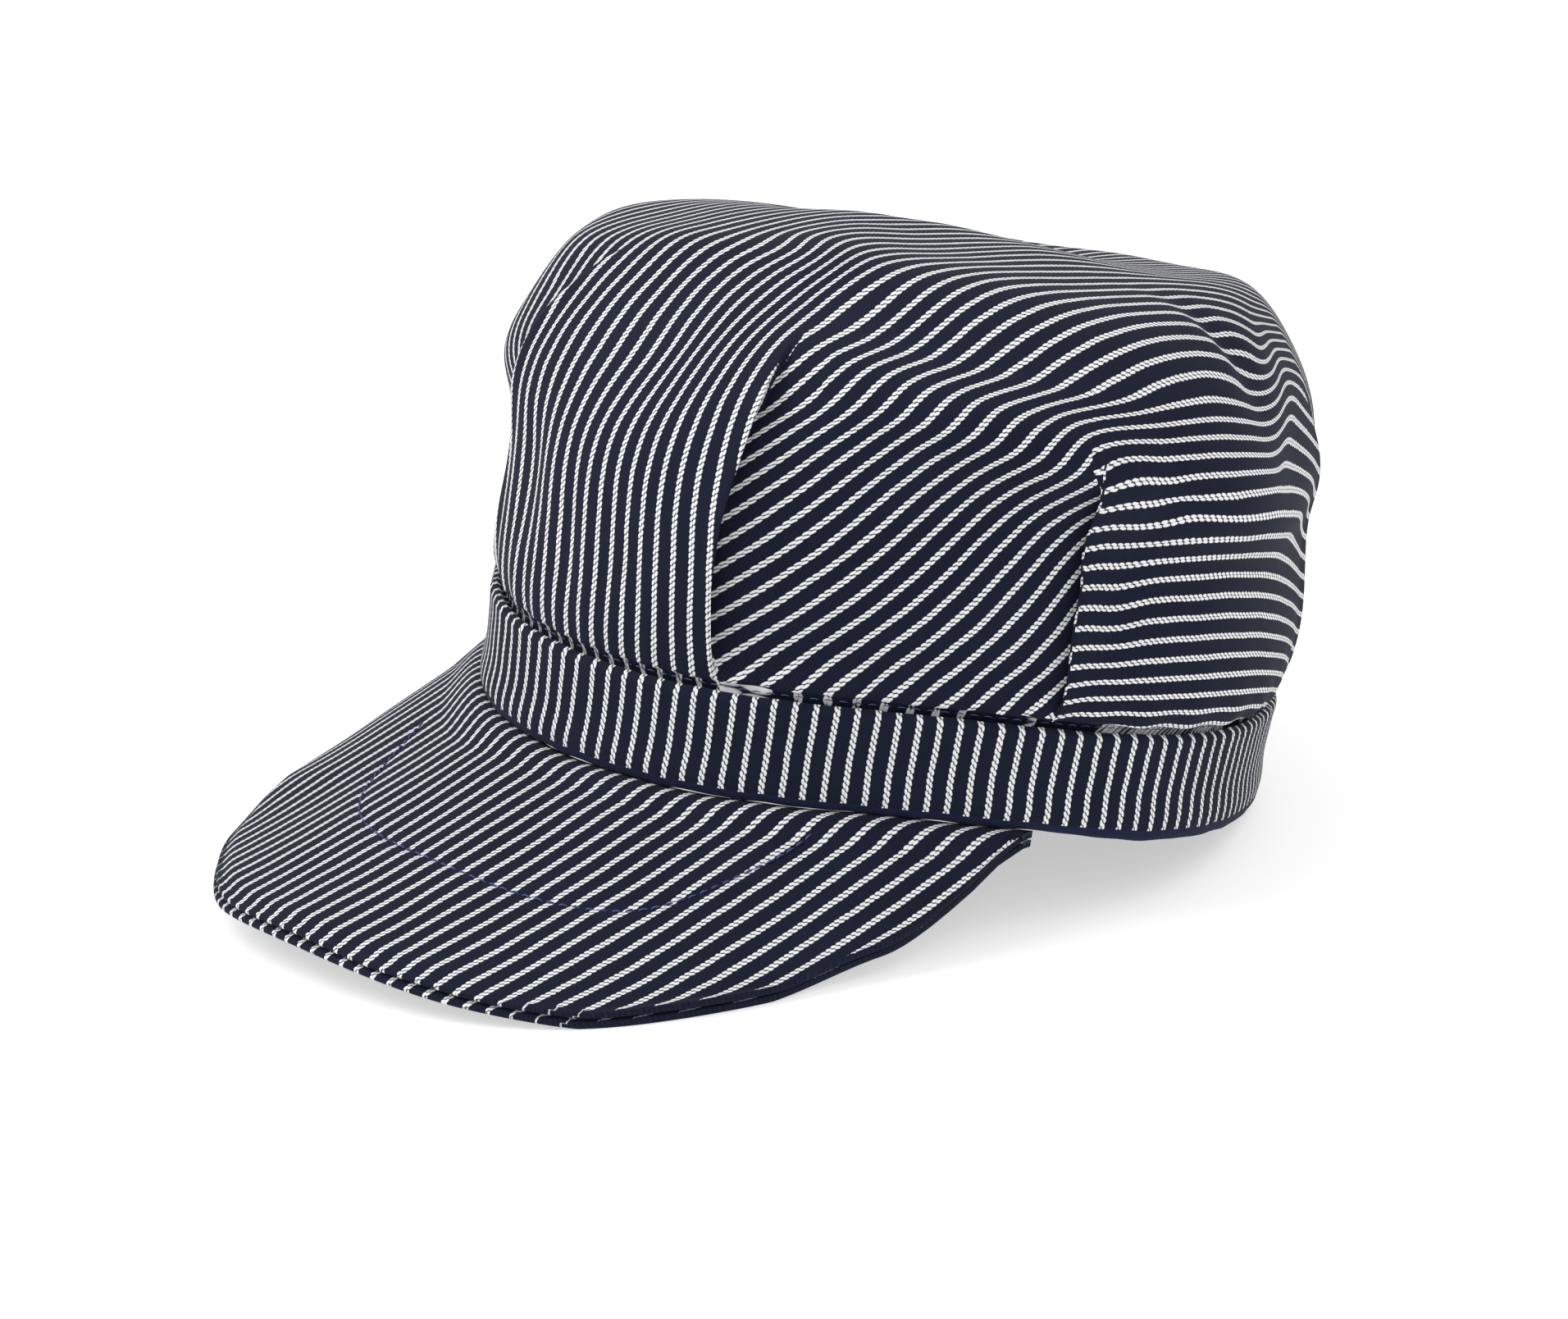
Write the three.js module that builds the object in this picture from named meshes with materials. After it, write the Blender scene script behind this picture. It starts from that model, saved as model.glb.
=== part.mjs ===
// Railroad engineer cap: pleated crown, headband and a two-layer peak, resting on a flat surface.
// Millimetres, +Z up, front of the cap towards -Y, wearer's left towards +X.
import * as THREE from 'three';

// Driving sizes
const HEAD_GIRTH = 605;        // round the outside of the band
const BAND_HEIGHT = 24.2;
const BAND_THICK = 3.0;
const BAND_ROLL = 0.8;         // how far the rolled top edge of the band stands out
const BAND_WARP = 2.43;        // how far the band's lower edge waves up and down
const CROWN_RISE = 84.8;       // mean height of the rim above the band
const CROWN_WALL = 1.8;
const CROWN_TUCK = 5.0;        // depth of the crown's edge inside the band
const RIM_ROUND = 16.1;        // how far in from the side the rounded rim reaches
const TOP_RISE = 13.5;         // how far the middle of the top stands above the rim
const TOP_HOLLOW = 8.3;        // how deep the slack top sinks on its far side
const PLEAT_DEPTH = 5.5;       // deepest set-back of a corner panel behind its fold edge
const FOLD_WIDTH = 3.2;        // degrees over which the cloth steps back at a fold edge
const DENT_DEPTH = 2.8;        // deepest of the soft dents
const VISOR_REACH = 77.9;      // peak's tip in front of the band
const VISOR_DROP = 38;         // about how far the tip lies below the band
const VISOR_WALL = 1.6;        // each of the two layers
const VISOR_HALF_ANGLE = 76;   // where the peak's ends meet the band, degrees each side of the front
const SEAM_GAP = 0.35;         // between neighbouring pieces
const REST_PRESS = 1.2;        // cloth flattened where the cap rests

// Round the cap from the front: [mean, cos, sin, cos 2, sin 2, cos 3, sin 3]
const BAND_PLAN = [0.9916, -0.1443, 0.0173, -0.0024, 0.0272, -0.0059, -0.0076];   // cosines only
const BULGE = [                // outside the band, low to high, shares of its mean radius
  [0.007, 0.006, 0, -0.025, 0.001, 0.01, -0.004],
  [0.032, 0.001, 0.007, -0.001, 0.007, -0.005, 0.002],
  [0.043, 0.021, -0.009, -0.013, 0.02, -0.006, 0.008],
  [0.018, 0.017, 0.062, -0.029, 0.004, -0.058, -0.018],
];
const RIM = [1, -0.011, 0.026, 0.02, -0.018, 0.012, 0.014];                       // of CROWN_RISE
const SHOULDER = [0.263, -0.04, -0.024, -0.013, -0.036, 0.037, -0.017];           // below the rim
const RIM_WIDTH = [1, 0.09, 0.19, 0.23, 0, 0, 0];                                 // of RIM_ROUND
const TOP_FORM = [0.69, 0.12, 0.05, -0.14, 0.14, -0.01, -0.03];                   // of TOP_RISE
// Slack hollow in the top: [degrees, share of the way up, their spreads]
const HOLLOW = [218, 0.84, 55, 0.11];
// Panels set back between two fold edges: [from, to] degrees, then shares of PLEAT_DEPTH
// at the first edge, in the middle and at the second edge
const CORNER_PANELS = [
  [24, 73.5, 1, 0.4, 0.65],
  [131, 157, 0.73, 0.33, 0.73],
  [203, 232, 0.73, 0.33, 0.73],
  [284, 319, 0.65, 0.36, 0.84],
];
// Soft dents: [degrees, share of the way up, their spreads, share of DENT_DEPTH]
const DENTS = [
  [-21, 0.30, 5, 0.11, 0.68],
  [-36, 0.33, 5, 0.10, 0.43],
  [3, 0.26, 6, 0.12, 0.32],
  [83, 0.47, 6, 0.045, 1],
  [113, 0.52, 12, 0.04, 0.79],
  [196, 0.30, 7, 0.12, 0.43],
  [262, 0.34, 9, 0.10, 0.5],
];
// Outer edge of the peak from its tip to each end: [share of the half width, then sideways and
// forwards from the band as shares of VISOR_REACH]
const VISOR_EDGE_LEFT = [
  [0, 0, 1], [0.14, 0.031, 1.012], [0.27, 0.061, 1.02], [0.4, 0.076, 1.029], [0.52, 0.099, 1.017],
  [0.62, 0.112, 0.984], [0.72, 0.104, 0.921], [0.81, 0.085, 0.841], [0.89, 0.057, 0.718],
  [0.95, 0.041, 0.558], [0.985, 0.024, 0.336], [1, -0.01, 0.062],
];
const VISOR_EDGE_RIGHT = [
  [0, 0, 1], [0.14, 0.018, 0.994], [0.27, 0.031, 0.982], [0.4, 0.037, 0.942], [0.52, 0.042, 0.914],
  [0.62, 0.054, 0.884], [0.72, 0.052, 0.837], [0.81, 0.043, 0.77], [0.89, 0.026, 0.673],
  [0.95, 0.013, 0.532], [0.985, 0.002, 0.323], [1, -0.023, 0.062],
];
// Height of the peak's upper face in shares of VISOR_DROP, from x over the band's radius and y over
// VISOR_REACH, with the lift of its right side and the curl of its right corner
const VISOR_FORM = {
  one: -0.0339, x: 0.0887, xx: -0.8935, y: -1.0899, yy: 0.1948, xxy: 0.2205, yyy: -0.0104,
  lift: 0.12, curl: 0.16,
};

const RAD = Math.PI / 180;
const RADIUS = HEAD_GIRTH / (2 * Math.PI);

function wave(c, a) {
  return c[0] + c[1] * Math.cos(a) + c[2] * Math.sin(a) + c[3] * Math.cos(2 * a)
    + c[4] * Math.sin(2 * a) + c[5] * Math.cos(3 * a) + c[6] * Math.sin(3 * a);
}
function bandRadius(a) {
  return RADIUS * BAND_PLAN.reduce((sum, c, k) => sum + c * Math.cos(k * a), 0);
}
function bandFoot(a) {
  return BAND_WARP * (Math.sin(a) ** 2 * Math.cos(a) - 0.794 * Math.cos(2 * a));
}
const polar = (r, a, z) => new THREE.Vector3(r * Math.sin(a), -r * Math.cos(a), z);
const step = (x) => { const s = Math.min(1, Math.max(0, x)); return s * s * (3 - 2 * s); };

// natural cubic spline through (knots, values)
function spline(knots, values) {
  const n = knots.length;
  const m = new Array(n).fill(0), d = new Array(n).fill(0), u = new Array(n).fill(0);
  for (let i = 1; i < n - 1; i++) {
    const h0 = knots[i] - knots[i - 1], h1 = knots[i + 1] - knots[i];
    const rhs = 6 * ((values[i + 1] - values[i]) / h1 - (values[i] - values[i - 1]) / h0);
    const p = 2 * (h0 + h1) - h0 * u[i - 1];
    u[i] = h1 / p;
    d[i] = (rhs - h0 * d[i - 1]) / p;
  }
  for (let i = n - 2; i > 0; i--) m[i] = d[i] - u[i] * m[i + 1];
  return (x) => {
    let i = 0;
    while (i < n - 2 && x > knots[i + 1]) i++;
    const h = knots[i + 1] - knots[i], a = (knots[i + 1] - x) / h, b = (x - knots[i]) / h;
    return a * values[i] + b * values[i + 1]
      + ((a ** 3 - a) * m[i] + (b ** 3 - b) * m[i + 1]) * h * h / 6;
  };
}

// 1 at a place on the crown, falling to 0 round it
function nearness(a, t, [degrees, share, acrossIt, upIt]) {
  let off = a / RAD - degrees;
  off -= 360 * Math.round(off / 360);
  return Math.exp(-((off / acrossIt) ** 2) - ((t - share) / upIt) ** 2);
}

// crown: smooth form, as radius and height over share t of the way from the band to the middle
const KNOTS = [0, 0.08, 0.2, 0.36, 0.5, 0.57, 0.64, 0.78, 0.9, 1.0];
const middle = BAND_HEIGHT + CROWN_RISE + TOP_RISE;
const INSIDE = BAND_THICK + SEAM_GAP;      // from the band's outer face to the crown inside it
function crownProfile(a) {
  const rb = bandRadius(a), top = bandFoot(a) + BAND_HEIGHT;
  const rim = BAND_HEIGHT + CROWN_RISE * wave(RIM, a);
  const shoulder = rim - CROWN_RISE * wave(SHOULDER, a);
  const [low, mid, upper, high] = BULGE.map((c) => rb + RADIUS * wave(c, a));
  const flat = high - RIM_ROUND * wave(RIM_WIDTH, a);      // where the top begins
  const inner = rim + TOP_RISE * wave(TOP_FORM, a);
  const r = [rb - INSIDE, low, mid, upper, high, high + (flat - high) * 0.46, flat,
    flat * 0.72, flat * 0.36, 0];
  const z = [top - CROWN_TUCK * 0.4, top + CROWN_TUCK, top + (shoulder - top) * 0.33,
    top + (shoulder - top) * 0.7, shoulder, shoulder + (rim - shoulder) * 0.56, rim,
    inner, inner + (middle - inner) * 0.86, middle];
  const fr = spline(KNOTS, r), fz = spline(KNOTS, z);
  return (t) => [fr(t), fz(t) - TOP_HOLLOW * nearness(a, t, HOLLOW) * step((1 - t) / 0.12)];
}

// set-back of the corner panels and the soft dents, mm inwards
function setBack(a, t) {
  const deg = ((a / RAD) % 360 + 360) % 360;
  let depth = 0;
  for (const [from, to, d0, dm, d1] of CORNER_PANELS) {
    if (deg <= from || deg >= to) continue;
    const u = (deg - from) / (to - from);
    const edge = step((deg - from) / FOLD_WIDTH) * step((to - deg) / FOLD_WIDTH);
    const fade = step((t - 0.03) / 0.1) * (1 - step((t - 0.44) / 0.14));
    depth += PLEAT_DEPTH * edge * fade * (d0 * (1 - u) ** 2 + 2 * dm * u * (1 - u) + d1 * u * u);
  }
  for (const dent of DENTS) depth += DENT_DEPTH * dent[4] * nearness(a, t, dent);
  return depth;
}

// columns round the crown: closer together at each fold edge
function columns() {
  const list = [];
  const edges = [];
  for (const [from, to] of CORNER_PANELS) {
    edges.push([from - FOLD_WIDTH * 0.3, from, from + FOLD_WIDTH * 0.5, from + FOLD_WIDTH]);
    edges.push([to - FOLD_WIDTH, to - FOLD_WIDTH * 0.5, to, to + FOLD_WIDTH * 0.3]);
  }
  edges.forEach((set, k) => {
    list.push(...set);
    const next = k + 1 < edges.length ? edges[k + 1][0] : edges[0][0] + 360;
    const last = set[set.length - 1];
    const n = Math.round((next - last) / 8);
    for (let i = 1; i < n; i++) list.push(last + (next - last) * i / n);
  });
  return list.map((d) => d * RAD);
}

function finish(name, points, faces, color, place) {
  const pos = new Float32Array(points.length * 3);
  points.forEach((p, i) => {
    const q = place(p);
    pos[3 * i] = q.x; pos[3 * i + 1] = q.y; pos[3 * i + 2] = q.z;
  });
  const geometry = new THREE.BufferGeometry();
  geometry.setAttribute('position', new THREE.BufferAttribute(pos, 3));
  geometry.setIndex(faces);
  geometry.computeVertexNormals();
  const mesh = new THREE.Mesh(geometry, new THREE.MeshStandardMaterial({ color, roughness: 0.9 }));
  mesh.name = name;
  return mesh;
}

// closed cup from an outer and an inner sheet of rows (foot first), each with a single top point
function cup(outer, inner, outerTop, innerTop) {
  const n = outer[0].length, rows = outer.length;
  const points = [...outer.flat(), ...inner.flat(), outerTop, innerTop];
  const at = (sheet, i, j) => sheet * rows * n + i * n + (j % n);
  const faces = [];
  for (let i = 0; i < rows - 1; i++) for (let j = 0; j < n; j++) {
    faces.push(at(0, i, j), at(0, i, j + 1), at(0, i + 1, j + 1));
    faces.push(at(0, i, j), at(0, i + 1, j + 1), at(0, i + 1, j));
    faces.push(at(1, i, j), at(1, i + 1, j + 1), at(1, i, j + 1));
    faces.push(at(1, i, j), at(1, i + 1, j), at(1, i + 1, j + 1));
  }
  const a = 2 * rows * n, b = a + 1, last = rows - 1;
  for (let j = 0; j < n; j++) {
    faces.push(at(0, last, j), at(0, last, j + 1), a);
    faces.push(at(1, last, j + 1), at(1, last, j), b);
    faces.push(at(0, 0, j + 1), at(0, 0, j), at(1, 0, j));
    faces.push(at(0, 0, j + 1), at(1, 0, j), at(1, 0, j + 1));
  }
  return [points, faces];
}

function makeCrown() {
  const cols = columns();
  const shares = [0.08, 0.13, 0.2, 0.28, 0.36, 0.43, 0.49, 0.54, 0.57, 0.6, 0.64, 0.7, 0.78, 0.86, 0.93];
  const eps = 0.004;
  const outer = [], inner = [];
  const lip = [[-INSIDE, -CROWN_TUCK], [-INSIDE, -BAND_THICK * 0.2],
    [-BAND_THICK * 0.7, BAND_THICK * 0.45 + SEAM_GAP]];
  for (const [dr, dz] of lip) {
    outer.push(cols.map((a) => polar(bandRadius(a) + dr, a, bandFoot(a) + BAND_HEIGHT + dz)));
    inner.push(cols.map((a) => polar(bandRadius(a) + dr - CROWN_WALL, a,
      bandFoot(a) + BAND_HEIGHT + dz + (dz > 0 ? CROWN_WALL * 0.2 : 0))));
  }
  for (const t of shares) {
    const ro = [], ri = [];
    for (const a of cols) {
      const f = crownProfile(a), g = crownProfile(a + eps), h = crownProfile(a - eps);
      const at = (fn, ang, s) => { const [r, z] = fn(s); return polar(r, ang, z); };
      const p = at(f, a, t);
      const along = at(f, a, Math.min(1, t + eps)).sub(at(f, a, t - eps));
      const round = at(g, a + eps, t).sub(at(h, a - eps, t));
      const normal = round.cross(along).normalize();
      if (t > 0.8) normal.lerp(new THREE.Vector3(0, 0, 1), step((t - 0.8) / 0.1)).normalize();
      const q = p.clone().addScaledVector(normal, -setBack(a, t));
      ro.push(q);
      ri.push(q.clone().addScaledVector(normal, -CROWN_WALL));
    }
    outer.push(ro);
    inner.push(ri);
  }
  return cup(outer, inner, new THREE.Vector3(0, 0, middle), new THREE.Vector3(0, 0, middle - CROWN_WALL));
}

function makeBand() {
  const n = 96, h = BAND_HEIGHT, w = BAND_THICK, roll = BAND_ROLL;
  const section = [[-w * 0.2, 0], [0, w * 0.27], [roll * 0.2, h * 0.35], [roll * 0.5, h * 0.68],
    [roll, h - w * 0.93], [roll * 0.4, h - w * 0.23], [-w * 0.3, h], [-w * 0.75, h - w * 0.17],
    [-w, h - w * 0.6], [-w, h * 0.5], [-w, w * 0.27], [-w * 0.8, 0]];
  const m = section.length;
  const points = [], faces = [];
  for (let j = 0; j < n; j++) {
    const a = (j / n) * 2 * Math.PI;
    for (const [dr, dz] of section) points.push(polar(bandRadius(a) + dr, a, bandFoot(a) + dz));
  }
  const at = (j, i) => (j % n) * m + (i % m);
  for (let j = 0; j < n; j++) for (let i = 0; i < m; i++) {
    faces.push(at(j, i), at(j + 1, i), at(j + 1, i + 1));
    faces.push(at(j, i), at(j + 1, i + 1), at(j, i + 1));
  }
  return [points, faces];
}

// peak: s runs across it from -1 to 1, v from under the band to the outer edge
const edges = [VISOR_EDGE_RIGHT, VISOR_EDGE_LEFT].map((table) => [1, 2].map((k) =>
  spline(table.map((e) => e[0]), table.map((e) => e[k]))));
function visorHeight(x, y) {
  const X = x / RADIUS, Y = (-y - bandRadius(0)) / VISOR_REACH, f = VISOR_FORM;
  return VISOR_DROP * (f.one + f.x * X + f.xx * X * X + f.y * Y + f.yy * Y * Y + f.xxy * X * X * Y
    + f.yyy * Y ** 3 + f.lift * step((-X - 0.5) / 0.37) * (1 - step((Y - 0.15) / 0.33))
    - f.curl * Math.exp(-(((X + 0.72) / 0.18) ** 2) - ((Y - 0.484) / 0.218) ** 2));
}
function visorPoint(s, v, grow) {
  const a = s * VISOR_HALF_ANGLE * RAD, rb = bandRadius(a);
  const inner = polar(rb - BAND_THICK * 0.83, a, 0), band = polar(rb, a, 0);
  const [sideways, forwards] = edges[s > 0 ? 1 : 0];
  const x1 = band.x + Math.sign(s) * sideways(Math.abs(s)) * VISOR_REACH;
  const y1 = band.y - forwards(Math.abs(s)) * VISOR_REACH;
  const reach = v * (1 + grow / Math.hypot(x1 - inner.x, y1 - inner.y));
  const x = inner.x + (x1 - inner.x) * reach, y = inner.y + (y1 - inner.y) * reach;
  // under the band the cloth is level with its lower edge, then eases into the free form
  const clear = Math.hypot(x, y) - bandRadius(Math.atan2(x, -y));
  const sewn = bandFoot(a) - SEAM_GAP, free = visorHeight(x, y);
  const mix = step((clear + BAND_THICK * 0.17) / (BAND_THICK * 3));
  const z = Math.min(sewn - Math.max(0, clear) * 0.12, sewn + (free - sewn) * mix);
  return new THREE.Vector3(x, y, mix >= 1 ? free : z);
}
const VISOR_PITCH = VISOR_WALL + SEAM_GAP * 1.6;   // from one layer to the next
function makeVisorLayer(drop, grow, under) {
  const ns = 30, shares = [0, 0.05, 0.14, 0.27, 0.42, 0.58, 0.74, 0.88, 0.97, 1];
  const top = [], bottom = [];
  for (let i = 0; i <= ns; i++) {
    const s = Math.sin((-1 + 2 * i / ns) * Math.PI / 2) * 0.35 + (-1 + 2 * i / ns) * 0.65;
    top.push(shares.map((v) => {
      const p = visorPoint(s, v, grow);
      p.z -= drop + (v > 0.99 ? VISOR_WALL * 0.3 : 0);
      p.lift = under + VISOR_WALL;
      return p;
    }));
    bottom.push(shares.map((v) => {
      const p = visorPoint(s, v, grow);
      p.z -= drop + VISOR_WALL * (v > 0.99 ? 0.8 : 1);
      p.lift = under;
      return p;
    }));
  }
  const m = shares.length, n = ns + 1;
  const points = [...top.flat(), ...bottom.flat()];
  const at = (sheet, i, j) => sheet * n * m + i * m + j;
  const faces = [];
  for (let i = 0; i < ns; i++) for (let j = 0; j < m - 1; j++) {
    faces.push(at(0, i, j), at(0, i, j + 1), at(0, i + 1, j + 1));
    faces.push(at(0, i, j), at(0, i + 1, j + 1), at(0, i + 1, j));
    faces.push(at(1, i, j), at(1, i + 1, j + 1), at(1, i, j + 1));
    faces.push(at(1, i, j), at(1, i + 1, j), at(1, i + 1, j + 1));
  }
  const rim = [];
  for (let i = 0; i < n; i++) rim.push([i, m - 1]);
  for (let j = m - 2; j >= 0; j--) rim.push([n - 1, j]);
  for (let i = n - 2; i >= 0; i--) rim.push([i, 0]);
  for (let j = 1; j < m - 1; j++) rim.push([0, j]);
  rim.forEach(([i, j], k) => {
    const [p, q] = rim[(k + 1) % rim.length];
    faces.push(at(0, i, j), at(1, i, j), at(1, p, q), at(0, i, j), at(1, p, q), at(0, p, q));
  });
  return [points, faces];
}

const pieces = [
  ['crown', makeCrown(), 0x2a2f45],
  ['band', makeBand(), 0x2c3148],
  ['visor_top', makeVisorLayer(0, 0, VISOR_PITCH), 0x2c3148],
  ['visor_under', makeVisorLayer(VISOR_PITCH, 0.4, 0), 0x262b3e],
];

// rest: turned until both corners of the peak and the back of the band share one level, then set
// down with that cloth pressed flat
function lowest(points, turn, wanted) {
  let best = null, low = Infinity;
  for (const p of points) {
    const z = p.clone().applyMatrix4(turn).z;
    if (wanted(p) && z < low) { low = z; best = p; }
  }
  return best;
}
function restingTurn() {
  const band = pieces[1][1][0], peak = pieces[3][1][0];
  let turn = new THREE.Matrix4();
  for (let i = 0; i < 12; i++) {
    const left = lowest(peak, turn, (p) => p.x > RADIUS * 0.3);
    const right = lowest(peak, turn, (p) => p.x < -RADIUS * 0.3);
    const back = lowest(band, turn, (p) => p.y > RADIUS * 0.5);
    const n = back.clone().sub(right).cross(left.clone().sub(right)).normalize();
    if (n.z < 0) n.negate();
    const front = Math.atan2(-n.y, n.z), side = Math.atan2(-n.x, Math.hypot(n.y, n.z));
    turn = new THREE.Matrix4().makeRotationY(side).multiply(new THREE.Matrix4().makeRotationX(-front));
  }
  return turn;
}
const turn = restingTurn();
const box = new THREE.Box3();
for (const [, [points]] of pieces) for (const p of points) box.expandByPoint(p.applyMatrix4(turn));
const shift = new THREE.Vector3(-(box.min.x + box.max.x) / 2, -(box.min.y + box.max.y) / 2,
  -box.min.z - REST_PRESS);
const place = (p) => {
  const q = p.clone().add(shift);
  q.z = Math.max(p.lift || 0, q.z);   // lift: cloth that lies between this point and the surface
  return q;
};

const cap = new THREE.Group();
cap.name = 'engineer_cap';
for (const [name, [points, faces], color] of pieces) cap.add(finish(name, points, faces, color, place));
export default cap;
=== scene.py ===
# Railroad engineer cap in hickory stripe denim, resting on a pale floor
import math
import bpy
import numpy as np
from mathutils import Matrix, Vector


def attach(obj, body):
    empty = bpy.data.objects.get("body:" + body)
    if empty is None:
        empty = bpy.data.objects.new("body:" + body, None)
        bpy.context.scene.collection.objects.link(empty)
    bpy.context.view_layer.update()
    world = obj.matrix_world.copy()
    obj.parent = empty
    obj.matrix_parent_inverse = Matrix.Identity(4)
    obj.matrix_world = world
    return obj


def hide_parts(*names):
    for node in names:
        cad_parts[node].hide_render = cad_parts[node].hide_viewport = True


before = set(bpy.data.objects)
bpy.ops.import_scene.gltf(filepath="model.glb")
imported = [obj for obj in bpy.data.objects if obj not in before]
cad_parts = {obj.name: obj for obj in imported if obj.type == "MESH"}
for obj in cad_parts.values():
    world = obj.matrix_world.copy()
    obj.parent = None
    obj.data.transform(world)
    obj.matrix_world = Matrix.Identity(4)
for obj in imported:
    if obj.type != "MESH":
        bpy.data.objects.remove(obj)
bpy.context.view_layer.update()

MM = 0.001

# Sizes of the cap, millimetres and degrees, as in the part's source
HEAD_GIRTH = 605
BAND_HEIGHT = 24.2
BAND_THICK = 3.0
BAND_ROLL = 0.8
BAND_WARP = 2.43
CROWN_RISE = 84.8
CROWN_WALL = 1.8
CROWN_TUCK = 5.0
RIM_ROUND = 16.1
TOP_RISE = 13.5
TOP_HOLLOW = 8.3
PLEAT_DEPTH = 5.5
DENT_DEPTH = 2.8
VISOR_REACH = 77.9
VISOR_DROP = 38
VISOR_WALL = 1.6
VISOR_HALF_ANGLE = 76
SEAM_GAP = 0.35
RADIUS = HEAD_GIRTH / (2 * math.pi)
INSIDE = BAND_THICK + SEAM_GAP

# How the cap leans where it rests, degrees, and where its own origin then lies, millimetres
LEAN_FRONT = 9.846
LEAN_SIDE = 2.844
REST_SHIFT = (-6.240, 18.323, 20.511)

# Cloth
STRIPE_PITCH = 4.65
PLAIN = 2.3                    # a place across the cloth between two stripes
PLAIN_FACE = ((PLAIN, 0), (PLAIN, 1), (PLAIN, 1), (PLAIN, 0))
DENIM = 0.9                    # thickness of one layer
FOLD_TUCK = 2.4                # degrees that a pleat's cloth runs back under its edge
FOLD_TURN = 1.7                # degrees of cloth in the turn at a pleat's edge
FOLD_REACH = 7.5               # degrees beyond the edge where the lower cloth lies free again
FOLD_EASE = 0.14               # share of the way up over which a pleat closes
FOLD_LIP = 0.7                 # how far a pleat's edge stands proud
PUCKER = 0.45                  # height of the small gathers beside the band
SLACK = 0.55                   # height of the waves in the slack top
COLUMN_STEP = 1.15             # degrees between the columns of the crown's mesh

# Radius of the band round the head: shares of the mean radius, for the cosines of 0 to 6 turns
BAND_PLAN = (0.9916, -0.1443, 0.0173, -0.0024, 0.0272, -0.0059, -0.0076)
# Round the crown from the front: mean, cos, sin, cos 2, sin 2, cos 3, sin 3. BULGE is how far it stands
# out from the band at four heights, RIM and SHOULDER how high its rim is and how far below it the
# shoulder lies, RIM_WIDTH how wide the rim turns in, TOP_FORM how high the outer part of the top lies
BULGE = (
    (0.007, 0.006, 0, -0.025, 0.001, 0.01, -0.004),
    (0.032, 0.001, 0.007, -0.001, 0.007, -0.005, 0.002),
    (0.043, 0.021, -0.009, -0.013, 0.02, -0.006, 0.008),
    (0.018, 0.017, 0.062, -0.029, 0.004, -0.058, -0.018),
)
RIM = (1, -0.011, 0.026, 0.02, -0.018, 0.012, 0.014)
SHOULDER = (0.263, -0.04, -0.024, -0.013, -0.036, 0.037, -0.017)
RIM_WIDTH = (1, 0.09, 0.19, 0.23, 0, 0, 0)
TOP_FORM = (0.69, 0.12, 0.05, -0.14, 0.14, -0.01, -0.03)
# Slack hollow in the top: degrees, share of the way up, their spreads
HOLLOW = (218, 0.84, 55, 0.11)

# Panels of the crown from their first fold edge to their second, degrees, with the way that the cloth
# hangs from the rim: degrees from the front. A set-back panel also has its depths, shares of
# PLEAT_DEPTH: at its first edge, the value that draws its middle, and at its second edge
PANELS = (
    (-41, 24, 0, None),
    (24, 73.5, 42, (1, 0.4, 0.65)),
    (73.5, 131, 90, None),
    (131, 157, 138, (0.73, 0.33, 0.73)),
    (157, 203, 180, None),
    (203, 232, 222, (0.73, 0.33, 0.73)),
    (232, 284, 270, None),
    (284, 319, 318, (0.65, 0.36, 0.5)),
)
# Soft dents: degrees, share of the way up, their spreads, share of DENT_DEPTH
DENTS = (
    (-21, 0.30, 5, 0.11, 0.68),
    (-36, 0.33, 5, 0.10, 0.43),
    (3, 0.26, 6, 0.12, 0.32),
    (83, 0.47, 6, 0.045, 1),
    (113, 0.52, 12, 0.04, 0.79),
    (196, 0.30, 7, 0.12, 0.43),
    (262, 0.34, 9, 0.10, 0.5),
    (-7, 0.22, 2.5, 0.12, 0.35),
    (80.5, 0.28, 2.6, 0.2, 0.45),
    (104.5, 0.68, 3.5, 0.07, 0.8),
    (103, 0.6, 8, 0.05, 0.5),
    (-53, 0.5, 13, 0.13, -1.3),
)
# Share of the way up at which the folds end, by degrees from the front
FOLD_END = ((-180, 0.58), (-76, 0.58), (-45, 0.67), (-30, 0.67), (24, 0.59), (73.5, 0.52), (131, 0.55),
            (180, 0.58))
# Fold edges that wander as they rise: edge in degrees, then (share of the way up, degrees off it)
FOLD_WANDER = (
    (24, ((0.04, -0.8), (0.1, -1.2), (0.2, -2), (0.29, -1.5), (0.39, 0.1), (0.47, 1.2), (0.58, 1.3))),
    (73.5, ((0.08, 1.3), (0.2, 0.7), (0.29, 1.1), (0.4, -1), (0.49, -2.4), (0.57, -1.5))),
    (131, ((0.05, 6), (0.57, 6))),
    (-41, ((0.1, 2), (0.36, 8), (0.46, 7), (0.53, 5), (0.6, 6.5), (0.73, 10))),
)
# Degrees round the cap over which the cloth beside a wandering fold is carried with it
WANDER_WIDE = 14
# Where the stripes of the front and the top stray from straight lines: share of the way up and
# sideways place, the spread of each, and how far they stray, millimetres
SWAY = (
    (0.52, 0.08, 2, 14, 2.8),
    (0.74, 0.06, 9, 16, 4),
    (0.52, 0.1, -40, 20, -3.5),
    (0.66, 0.15, 31, 9, -3.3),
)
# Shares of the way up at which the form of the crown is given, of its rim, and where the top's rows stop
KNOTS = np.array((0, 0.08, 0.2, 0.36, 0.5, 0.57, 0.64, 0.78, 0.9, 1.0))
RIM_SHARE = 0.62
LAST_SHARE = 0.985
MIDDLE = BAND_HEIGHT + CROWN_RISE + TOP_RISE
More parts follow.
